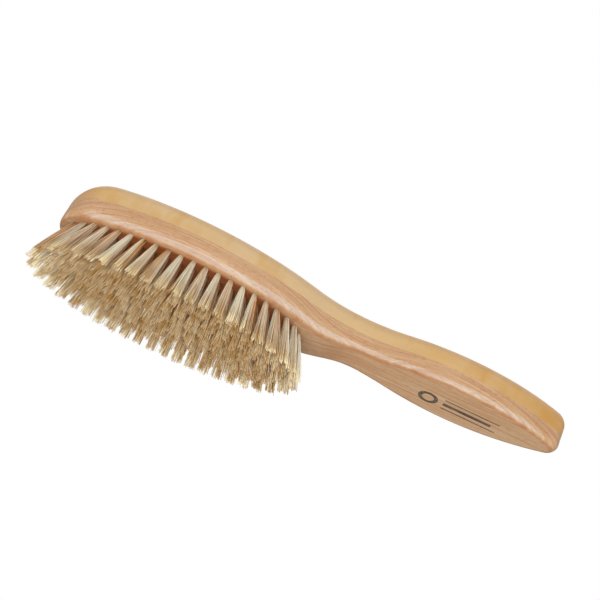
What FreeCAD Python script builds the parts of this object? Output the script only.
"""Handled clothes brush: a beech stock bored for hand-drawn tufts, with a satinwood back glued over the wires.

The brush stands on its bristle tips. The origin is on the floor under the middle of the brush, +X runs along
the handle to the butt, +Z runs up through the back, and the brush is symmetric about the XZ plane.
"""

import FreeCAD, Part

import math
import os

import Sketcher
from FreeCAD import Placement, Rotation, Vector

# Driving dimensions in millimetres, angles in degrees. Heights in the blank are above its underside.
DIMENSIONS = {
    "overall_length": (232.0, "nose tip to butt"),
    "nose_offset": (-113.7, "x of the nose tip, so that the origin is under the middle of the whole brush"),
    "nose_radius": (20.0, "plan radius of the nose"),
    "head_half_width": (26.5, "half of the greatest width of the head"),
    "head_side_radius": (140.0, "plan radius of the sides of the head"),
    "neck_half_width": (10.7, "half of the least width, between head and handle"),
    "neck_side_radius": (66.0, "plan radius of the hollow sides of the neck"),
    "handle_half_width": (16.6, "half of the greatest width of the handle"),
    "handle_side_radius": (103.0, "plan radius of the sides of the handle"),
    "stock_thickness": (9.4, "beech, from the underside to the glue line"),
    "crown_height": (20.8, "top of the back over the head"),
    "crown_line_radius": (3200.0, "slow fall of the back from the head towards the neck, seen from the side"),
    "neck_height": (19.3, "lowest point of the back, at the neck"),
    "neck_hollow_radius": (600.0, "hollow of the back at the neck, seen from the side"),
    "butt_height": (20.2, "top of the back at the butt"),
    "crown_radius": (212.0, "radius of the back across its width"),
    "nose_edge_height": (9.0, "where the rolled nose meets the nose wall"),
    "nose_roll_radius": (24.0, "radius of the roll over the nose, seen from the side"),
    "shoulder_radius": (6.0, "rounding between the back and the walls"),
    "nose_arris_radius": (1.0, "rounding between the walls and the underside at the nose"),
    "waist_arris_radius": (5.4, "the same where the head runs into the neck"),
    "handle_arris_radius": (3.0, "the same where the neck runs into the handle"),
    "butt_arris_radius": (3.6, "the same at the butt"),
    "handle_relief": (2.0, "height of the handle's underside above the head's"),
    "relief_start": (116.0, "distance from the nose tip to the start of the relief"),
    "relief_end": (142.0, "distance from the nose tip to the end of the relief"),
    "bristle_reach": (21.0, "bristle tips to the underside of the head"),
    "field_centre": (58.8, "distance from the nose tip to the middle of the bristle field"),
    "field_half_length": (54.0, "half length of the outermost ring of tufts"),
    "field_half_width": (21.1, "half width of the outermost ring of tufts"),
    "row_pitch": (6.0, "distance from one row of tufts to the next"),
    "tuft_pitch": (5.8, "distance from one tuft to the next along a row"),
    "side_lean": (20.0, "lean of the tufts at the sides of the field"),
    "end_lean": (18.0, "lean of the tufts at the two ends of the field"),
    "bore_radius": (1.25, "tuft hole"),
    "bore_depth": (5.2, "depth of the tuft hole's straight part"),
    "bore_point": (0.7, "height of the drill point at the bottom of the tuft hole"),
    "wire_hole_radius": (0.9, "through hole from the tuft hole to the glue line"),
    "tip_radius": (2.7, "tuft at its tips"),
    "wire_radius": (0.2, "drawing wire"),
    "wire_bend_radius": (0.65, "bend of the drawing wire under a tuft's fold"),
    "wire_depth": (0.35, "middle of the drawing wire below the glue line"),
    "groove_radius": (0.6, "grooves for the drawing wire in the stock's glued face"),
}
FIELD_ROUNDNESS = 2.2  # exponent of the oval of the bristle field; 2 would be an ellipse
ROWS_PER_SIDE = 4
ROW_LINE_STEPS = 24  # points that carry the half oval of a row

doc = FreeCAD.newDocument("clothes_brush")
sheet = doc.addObject("Spreadsheet::Sheet", "Dimensions")
for line, (alias, (value, note)) in enumerate(DIMENSIONS.items(), start=1):
    sheet.set(f"A{line}", note)
    sheet.set(f"B{line}", str(value))
    sheet.setAlias(f"B{line}", alias)
doc.recompute()


def size(alias):
    """The value of one driving dimension."""
    return float(sheet.get(alias))


def origin_plane(body, role):
    return next(item for item in body.Origin.OriginFeatures if item.Role == role)


def new_sketch(body, name, role):
    sketch = body.newObject("Sketcher::SketchObject", name)
    sketch.AttachmentSupport = [(origin_plane(body, role), "")]
    sketch.MapMode = "FlatFace"
    return sketch


def bind(sketch, kind, *where, expression, value):
    """Adds one dimension to a sketch and ties it to the sheet."""
    index = sketch.addConstraint(Sketcher.Constraint(kind, *where, value))
    sketch.setExpression(f"Constraints[{index}]", expression)


def unit(vector):
    return vector / vector.Length


def arc_between(centre, start, end, clockwise):
    """The circular arc from start to end about a centre, as the sketcher wants it: counter-clockwise."""
    first, last = (end, start) if clockwise else (start, end)
    angles = [math.atan2(point.y - centre.y, point.x - centre.x) for point in (first, last)]
    circle = Part.Circle(centre, Vector(0, 0, 1), (start - centre).Length)
    return Part.ArcOfCircle(circle, *angles)


# The blank: the outer form of stock and back together, before it parts along the glue line.
def outline_arcs():
    """Centres and tangent points of the five arcs of one side, from the nose tip round to the butt."""
    nose = Vector(size("nose_radius"), 0, 0)
    head_radius = size("head_side_radius")
    neck_radius = size("neck_side_radius")
    handle_radius = size("handle_side_radius")
    head_y = size("head_half_width") - head_radius
    neck_y = size("neck_half_width") + neck_radius
    handle_y = size("handle_half_width") - handle_radius
    head = Vector(nose.x + math.sqrt((head_radius - nose.x) ** 2 - head_y**2), head_y, 0)
    neck = Vector(head.x + math.sqrt((head_radius + neck_radius) ** 2 - (neck_y - head_y) ** 2), neck_y, 0)
    handle = Vector(neck.x + math.sqrt((neck_radius + handle_radius) ** 2 - (neck_y - handle_y) ** 2), handle_y, 0)
    reach = size("overall_length") - handle.x
    butt_radius = (handle_radius**2 - reach**2 - handle_y**2) / (2 * (handle_radius - reach))
    butt = Vector(size("overall_length") - butt_radius, 0, 0)
    joints = [
        Vector(0, 0, 0),
        head + unit(nose - head) * head_radius,
        head + unit(neck - head) * head_radius,
        handle + unit(neck - handle) * handle_radius,
        handle + unit(butt - handle) * handle_radius,
        Vector(size("overall_length"), 0, 0),
    ]
    return [nose, head, neck, handle, butt], joints


def draw_outline(body):
    """Half of the plan outline, closed along the axis: nose, head side, neck, handle side and butt arcs."""
    sketch = new_sketch(body, "Outline", "XY_Plane")
    centres, joints = outline_arcs()
    nose, head, neck, handle, butt, axis = range(6)
    for number, centre in enumerate(centres):
        hollow = number == neck
        sketch.addGeometry(arc_between(centre, joints[number], joints[number + 1], clockwise=not hollow))
    sketch.addGeometry(Part.LineSegment(joints[-1], joints[0]))
    for joint in (
        ("Tangent", nose, 1, head, 2),
        ("Tangent", head, 1, neck, 1),
        ("Tangent", neck, 2, handle, 2),
        ("Tangent", handle, 1, butt, 2),
        ("Coincident", butt, 1, axis, 1),
        ("Coincident", axis, 2, nose, 2),
        ("Coincident", axis, 2, -1, 1),
        ("Horizontal", axis),
        ("PointOnObject", nose, 3, -1),
        ("PointOnObject", butt, 3, -1),
    ):
        sketch.addConstraint(Sketcher.Constraint(*joint))
    length = size("overall_length")
    bind(sketch, "DistanceX", -1, 1, axis, 1, expression="Dimensions.overall_length", value=length)
    for arc, alias in (
        (nose, "nose_radius"),
        (head, "head_side_radius"),
        (neck, "neck_side_radius"),
        (handle, "handle_side_radius"),
    ):
        bind(sketch, "Radius", arc, expression=f"Dimensions.{alias}", value=size(alias))
    for arc, part in ((head, "head"), (handle, "handle")):
        rule = f"Dimensions.{part}_side_radius - Dimensions.{part}_half_width"
        bind(sketch, "DistanceY", arc, 3, -1, 1, expression=rule, value=-centres[arc].y)
    rule = "Dimensions.neck_side_radius + Dimensions.neck_half_width"
    bind(sketch, "DistanceY", -1, 1, neck, 3, expression=rule, value=centres[neck].y)
    return sketch


OVERRUN = 1.0  # how far cutting profiles run past the blank
CUT_HEIGHT = 40.0  # top of the profile that cuts the crown, above the underside


def draw_crown(body):
    """The space above the crown line, seen from the side, with the axis that the back's camber turns about."""
    sketch = new_sketch(body, "CrownLine", "XZ_Plane")
    roll_radius = size("nose_roll_radius")
    line_radius = size("crown_line_radius")
    hollow_radius = size("neck_hollow_radius")
    far_x = size("overall_length") + OVERRUN
    roll_y = size("crown_height") - roll_radius
    rise = size("nose_edge_height") - roll_y
    roll_centre = Vector(math.sqrt(roll_radius**2 - rise**2) - OVERRUN, roll_y, 0)
    line_centre = Vector(roll_centre.x, size("crown_height") - line_radius, 0)
    hollow_y = size("neck_height") + hollow_radius
    hollow_x = math.sqrt((line_radius + hollow_radius) ** 2 - (hollow_y - line_centre.y) ** 2)
    hollow_centre = Vector(line_centre.x + hollow_x, hollow_y, 0)
    start = Vector(-OVERRUN, size("nose_edge_height"), 0)
    summit = Vector(roll_centre.x, size("crown_height"), 0)
    turn_point = line_centre + unit(hollow_centre - line_centre) * line_radius
    end = Vector(far_x, size("butt_height"), 0)
    to_end = end - hollow_centre
    turn = math.atan2(to_end.y, to_end.x) - math.acos(hollow_radius / to_end.Length)
    touch = hollow_centre + Vector(math.cos(turn), math.sin(turn), 0) * hollow_radius
    corners = [end, Vector(far_x, CUT_HEIGHT, 0), Vector(-OVERRUN, CUT_HEIGHT, 0), start]
    axis_y = size("crown_height") - size("crown_radius")
    roll, crown, hollow, rising, butt_side, top, nose_side, camber_axis = range(8)
    sketch.addGeometry(arc_between(roll_centre, start, summit, clockwise=True))
    sketch.addGeometry(arc_between(line_centre, summit, turn_point, clockwise=True))
    sketch.addGeometry(arc_between(hollow_centre, turn_point, touch, clockwise=False))
    sketch.addGeometry(Part.LineSegment(touch, end))
    for first, last in zip(corners, corners[1:]):
        sketch.addGeometry(Part.LineSegment(first, last))
    sketch.addGeometry(Part.LineSegment(Vector(0, axis_y, 0), Vector(size("overall_length"), axis_y, 0)), True)
    for joint in (
        ("Tangent", roll, 1, crown, 2),
        ("Tangent", crown, 1, hollow, 1),
        ("Tangent", hollow, 2, rising, 1),
        ("Coincident", rising, 2, butt_side, 1),
        ("Coincident", butt_side, 2, top, 1),
        ("Coincident", top, 2, nose_side, 1),
        ("Coincident", nose_side, 2, roll, 2),
        ("Vertical", roll, 3, roll, 1),
        ("Vertical", butt_side),
        ("Horizontal", top),
        ("Vertical", nose_side),
        ("Horizontal", camber_axis),
        ("PointOnObject", camber_axis, 1, -2),
    ):
        sketch.addConstraint(Sketcher.Constraint(*joint))
    for arc, alias in ((roll, "nose_roll_radius"), (crown, "crown_line_radius"), (hollow, "neck_hollow_radius")):
        bind(sketch, "Radius", arc, expression=f"Dimensions.{alias}", value=size(alias))
    rule = "Dimensions.nose_roll_radius - Dimensions.crown_height"
    bind(sketch, "DistanceY", roll, 3, -1, 1, expression=rule, value=-roll_y)
    rule = "Dimensions.neck_hollow_radius + Dimensions.neck_height"
    bind(sketch, "DistanceY", -1, 1, hollow, 3, expression=rule, value=hollow_y)
    bind(sketch, "DistanceY", -1, 1, roll, 2, expression="Dimensions.nose_edge_height", value=start.y)
    bind(sketch, "DistanceX", roll, 2, -1, 1, expression=f"{OVERRUN}", value=OVERRUN)
    bind(sketch, "DistanceY", -1, 1, rising, 2, expression="Dimensions.butt_height", value=end.y)
    rule = f"Dimensions.overall_length + {OVERRUN}"
    bind(sketch, "DistanceX", -1, 1, rising, 2, expression=rule, value=far_x)
    bind(sketch, "DistanceY", -1, 1, top, 1, expression=f"{CUT_HEIGHT}", value=CUT_HEIGHT)
    rule = "Dimensions.crown_radius - Dimensions.crown_height"
    bind(sketch, "DistanceY", camber_axis, 1, -1, 1, expression=rule, value=-axis_y)
    rule = "Dimensions.overall_length"
    bind(sketch, "DistanceX", camber_axis, 1, camber_axis, 2, expression=rule, value=size("overall_length"))
    return sketch


def draw_relief(body):
    """The space under the raised handle, seen from the side: an S of two equal arcs, then level to the butt."""
    sketch = new_sketch(body, "ReliefLine", "XZ_Plane")
    start = Vector(size("relief_start"), 0, 0)
    end = Vector(size("relief_end"), size("handle_relief"), 0)
    step = end - start
    radius = (step.x**2 + step.y**2) / (4 * step.y)
    middle = start + step / 2
    far_x = size("overall_length") + OVERRUN
    corners = [end, Vector(far_x, end.y, 0), Vector(far_x, -OVERRUN, 0), Vector(start.x, -OVERRUN, 0), start]
    rise, level, run, butt_side, below, head_side = range(6)
    sketch.addGeometry(arc_between(start + Vector(0, radius, 0), start, middle, clockwise=False))
    sketch.addGeometry(arc_between(end - Vector(0, radius, 0), middle, end, clockwise=True))
    for first, last in zip(corners, corners[1:]):
        sketch.addGeometry(Part.LineSegment(first, last))
    for joint in (
        ("Tangent", rise, 2, level, 2),
        ("Tangent", level, 1, run, 1),
        ("Coincident", run, 2, butt_side, 1),
        ("Coincident", butt_side, 2, below, 1),
        ("Coincident", below, 2, head_side, 1),
        ("Coincident", head_side, 2, rise, 1),
        ("Horizontal", run),
        ("Vertical", butt_side),
        ("Horizontal", below),
        ("Vertical", head_side),
        ("PointOnObject", rise, 1, -1),
        ("Vertical", rise, 3, rise, 1),
        ("Equal", rise, level),
    ):
        sketch.addConstraint(Sketcher.Constraint(*joint))
    bind(sketch, "DistanceX", -1, 1, rise, 1, expression="Dimensions.relief_start", value=start.x)
    bind(sketch, "DistanceX", -1, 1, run, 1, expression="Dimensions.relief_end", value=end.x)
    bind(sketch, "DistanceY", -1, 1, run, 1, expression="Dimensions.handle_relief", value=end.y)
    rule = f"Dimensions.overall_length + {OVERRUN}"
    bind(sketch, "DistanceX", -1, 1, run, 2, expression=rule, value=far_x)
    bind(sketch, "DistanceY", below, 1, -1, 1, expression=f"{OVERRUN}", value=OVERRUN)
    return sketch


def is_wall(face):
    return isinstance(face.Surface, Part.Cylinder) and abs(face.Surface.Axis.z) > 0.99


def rim_edges(shape, underside, upper):
    """The numbered edges where the upright walls meet the back (upper) or the underside, at its height."""
    for number, edge in enumerate(shape.Edges, start=1):
        walls = [face for face in shape.ancestorsOfType(edge, Part.Face) if is_wall(face)]
        middle = edge.valueAt((edge.FirstParameter + edge.LastParameter) / 2)
        if len(walls) == 1 and (middle.z - underside > size("stock_thickness") / 2) == upper:
            yield number, edge


def arris_radius(x):
    """The rounding under the walls at a distance from the nose tip. It changes evenly along each outline arc."""
    _, joints = outline_arcs()
    radii = [size(f"{place}_arris_radius") for place in ("nose", "nose", "waist", "handle", "butt", "butt")]
    arc = next((number for number, joint in enumerate(joints[1:-1]) if x < joint.x), len(joints) - 2)
    share = (x - joints[arc].x) / (joints[arc + 1].x - joints[arc].x)
    return radii[arc] + share * (radii[arc + 1] - radii[arc])


def round_arris(body):
    """Rounds the rim of the underside: finest at the nose, broadest at the waist between head and neck."""
    rims = []
    for number, edge in rim_edges(body.Shape, size("bristle_reach"), upper=False):
        ends = [edge.valueAt(parameter) for parameter in (edge.FirstParameter, edge.LastParameter)]
        rims.append((number, *(arris_radius(end.x - size("nose_offset")) for end in ends)))
    arris = doc.addObject("Part::Fillet", "Arris")
    arris.Base = body
    arris.Edges = rims
    doc.recompute()
    return arris


def build_blank():
    body = doc.addObject("PartDesign::Body", "Blank")
    body.setExpression(".Placement.Base.x", "Dimensions.nose_offset")
    body.setExpression(".Placement.Base.z", "Dimensions.bristle_reach")

    half = body.newObject("PartDesign::Pad", "HalfBlank")
    half.Profile = draw_outline(body)
    half.setExpression("Length", "Dimensions.crown_height")
    doc.recompute()

    whole = body.newObject("PartDesign::Mirrored", "WholeBlank")
    whole.Originals = [half]
    whole.MirrorPlane = (origin_plane(body, "XZ_Plane"), [""])
    body.Tip = whole
    doc.recompute()

    crown = body.newObject("PartDesign::Groove", "Crown")
    crown.Profile = draw_crown(body)
    crown.ReferenceAxis = (crown.Profile[0], ["Axis0"])
    crown.Angle = 30.0
    crown.Midplane = True
    doc.recompute()

    relief = body.newObject("PartDesign::Pocket", "HandleRelief")
    relief.Profile = draw_relief(body)
    relief.Length = 100.0
    relief.Midplane = True
    doc.recompute()

    shoulder = body.newObject("PartDesign::Fillet", "Shoulder")
    shoulder.Base = (relief, [f"Edge{number}" for number, _ in rim_edges(relief.Shape, 0, upper=True)])
    shoulder.setExpression("Radius", "Dimensions.shoulder_radius")
    doc.recompute()
    return round_arris(body)


# The two woods: the blank parted along the glue line.
def build_layer(name, blank, floor, thickness):
    """The part of the blank between two heights above its underside, given as expressions."""
    slab = doc.addObject("Part::Box", f"{name}_slab")
    slab.setExpression("Length", f"Dimensions.overall_length + {2 * OVERRUN}")
    slab.setExpression("Width", f"2 * Dimensions.head_half_width + {2 * OVERRUN}")
    slab.setExpression("Height", thickness)
    slab.setExpression(".Placement.Base.x", f"Dimensions.nose_offset - {OVERRUN}")
    slab.setExpression(".Placement.Base.y", f"-Dimensions.head_half_width - {OVERRUN}")
    slab.setExpression(".Placement.Base.z", f"Dimensions.bristle_reach + {floor}")
    layer = doc.addObject("Part::Common", name)
    layer.Base = blank
    layer.Tool = slab
    doc.recompute()
    return layer


# The bristle field: lengthwise rows that follow an oval, numbered across the head from the -Y side.
def row_line(row):
    """The mouths of one row's tuft holes lie on this half oval, drawn from the nose end to the neck end."""
    side = -1 if row <= ROWS_PER_SIDE else 1
    ring = row - 1 if side < 0 else 2 * ROWS_PER_SIDE - row
    inset = ring * size("row_pitch")
    half_length = size("field_half_length") - inset
    half_width = size("field_half_width") - inset
    centre = size("nose_offset") + size("field_centre")
    points = []
    for step in range(ROW_LINE_STEPS + 1):
        turn = math.pi * step / ROW_LINE_STEPS
        along = math.copysign(abs(math.cos(turn)) ** (2 / FIELD_ROUNDNESS), -math.cos(turn))
        across = math.sin(turn) ** (2 / FIELD_ROUNDNESS)
        points.append(Vector(centre + half_length * along, side * half_width * across, size("bristle_reach")))
    curve = Part.BSplineCurve()
    curve.interpolate(points)
    return curve.toShape()


def lean_axis(mouth):
    """The way up a tuft hole: upright in the middle of the field, leaning in towards it from the edges."""
    centre = size("nose_offset") + size("field_centre")
    along = math.tan(math.radians(size("end_lean"))) * (mouth.x - centre) / size("field_half_length")
    across = math.tan(math.radians(size("side_lean"))) * mouth.y / size("field_half_width")
    return unit(Vector(-along, -across, 1))


def tuft_sites(row):
    """Mouth and axis of each tuft hole of a row, evenly spaced along its line."""
    line = row_line(row)
    count = round(line.Length / size("tuft_pitch"))
    mouths = line.discretize(Number=2 * count + 1)[1::2]
    return [(mouth, lean_axis(mouth)) for mouth in mouths]


def turned(profile, mouth, axis):
    """Turns a closed profile of (radius, height) edges about a tuft hole's axis."""
    solid = Part.Face(Part.Wire(profile)).revolve(Vector(0, 0, 0), Vector(0, 0, 1), 360)
    solid.Placement = Placement(mouth, Rotation(Vector(0, 0, 1), axis))
    return solid


def lines_through(points):
    vectors = [Vector(radius, 0, height) for radius, height in points]
    return [Part.makeLine(first, last) for first, last in zip(vectors, vectors[1:])]


def bore(mouth, axis):
    """What a tuft hole removes: the straight hole, its drill point and the wire hole through to the back."""
    wide = size("bore_radius")
    narrow = size("wire_hole_radius")
    depth = size("bore_depth")
    shoulder = depth + size("bore_point")
    end = (size("stock_thickness") + OVERRUN) / axis.z
    start = -2 * OVERRUN
    corners = [(0, end), (0, start), (wide, start), (wide, depth), (narrow, shoulder), (narrow, end), (0, end)]
    return turned(lines_through(corners), mouth, axis)


def tuft(mouth, axis, hairpin):
    """One tuft: folded over its wire in the hole, filling it, then fanning out to tips trimmed level."""
    wide = size("bore_radius")
    fold = size("bore_depth") - wide
    reach = size("bristle_reach")
    tip = reach / axis.z + 2 * OVERRUN
    tip_radius = wide + (size("tip_radius") - wide) * tip / reach
    edges = lines_through([(0, wide + fold), (0, -tip), (tip_radius, -tip), (wide, 0), (wide, fold)])
    crest = Vector(0, 0, fold + wide)
    corner = wide * math.sqrt(0.5)
    edges.append(Part.Arc(Vector(wide, 0, fold), Vector(corner, 0, fold + corner), crest).toShape())
    length = size("overall_length")
    above_floor = Part.makeBox(2 * length, 2 * length, length, Vector(-length, -length, 0))
    return turned(edges, mouth, axis).common(above_floor).cut(hairpin)


def rod(start, end, radius):
    """A straight round length from one point to another."""
    return Part.makeCylinder(radius, (end - start).Length, start, end - start)


def hairpin(mouth, axis, heading):
    """One loop of the drawing wire, from the run down under the fold of its tuft and back up to the run."""
    radius = size("wire_radius")
    level = mouth.z + size("stock_thickness") - size("wire_depth")
    sideways = unit(heading - axis * heading.dot(axis)) * size("wire_bend_radius")
    centre = mouth + axis * (size("bore_depth") - size("bore_radius"))
    left, right = centre - sideways, centre + sideways
    left_top, right_top = (low + axis * ((level - low.z) / axis.z) for low in (left, right))
    section = Part.Face(Part.Wire([Part.makeCircle(radius, left, axis)]))
    bend = section.revolve(centre, sideways.cross(axis), 180)
    loop = bend.fuse([rod(left, left_top, radius), rod(right, right_top, radius)])
    return loop, left_top, right_top


def drawing_wire(loops):
    """A row's wire: its loops, joined by straight runs with rounded corners along the glued face."""
    radius = size("wire_radius")
    corners = [corner for loop in loops for corner in loop[1:]]
    runs = [rod(start, end, radius) for start, end in zip(corners[1::2], corners[2::2])]
    elbows = [Part.makeSphere(radius, corner) for corner in corners]
    return loops[0][0].fuse([loop[0] for loop in loops[1:]] + runs + elbows).removeSplitter()


def grooves(loops):
    """The channels that take a row's wire, from hole to hole in the stock's glued face."""
    depth = Vector(0, 0, size("wire_depth"))
    middles = [(left + right) / 2 + depth for _, left, right in loops]
    return [rod(start, end, size("groove_radius")) for start, end in zip(middles, middles[1:])]


def shape_object(name, shape):
    item = doc.addObject("Part::Feature", name)
    item.Shape = shape
    item.Placement = Placement()
    return item


def build_row(row):
    """One row of the field: its tufts, its drawing wire, and what its holes and grooves remove."""
    sites = tuft_sites(row)
    mouths = [mouth for mouth, _ in sites]
    headings = [after - before for before, after in zip([mouths[0], *mouths], [*mouths[1:], mouths[-1]])]
    loops = [hairpin(mouth, axis, heading) for (mouth, axis), heading in zip(sites, headings)]
    tufts = [tuft(mouth, axis, loop[0]) for (mouth, axis), loop in zip(sites, loops)]
    bores = [bore(mouth, axis) for mouth, axis in sites]
    drilling = bores[0].fuse(bores[1:] + grooves(loops))
    tuft_row = shape_object(f"tuft_row_{row}", Part.makeCompound(tufts))
    draw_wire = shape_object(f"draw_wire_{row}", drawing_wire(loops))
    return tuft_row, draw_wire, drilling


def check(items):
    """Stops on any object that failed, and on any sub-part with no valid shape."""
    for item in doc.Objects:
        if "Invalid" in item.State or "Error" in item.State:
            raise RuntimeError(f"{item.Label} failed: {item.State}")
    for item in items:
        if item.Shape.isNull() or not item.Shape.isValid():
            raise RuntimeError(f"{item.Label} has no valid shape")


def main():
    blank = build_blank()
    back = build_layer("back", blank, "Dimensions.stock_thickness", "Dimensions.crown_height")
    beech = build_layer("beech", blank, "0", "Dimensions.stock_thickness")
    rows = [build_row(row) for row in range(1, 2 * ROWS_PER_SIDE + 1)]
    drilling = shape_object("drilling", Part.makeCompound([row[2] for row in rows]))
    stock = doc.addObject("Part::Cut", "stock")
    stock.Base = beech
    stock.Tool = drilling
    doc.recompute()

    nodes = [stock, back, *(row[0] for row in rows), *(row[1] for row in rows)]
    for node in nodes:
        node.Label = node.Name
    check(nodes)
    os.makedirs("parts", exist_ok=True)
    for node in nodes:
        node.Shape.exportStep(f"parts/{node.Label}.step")


main()
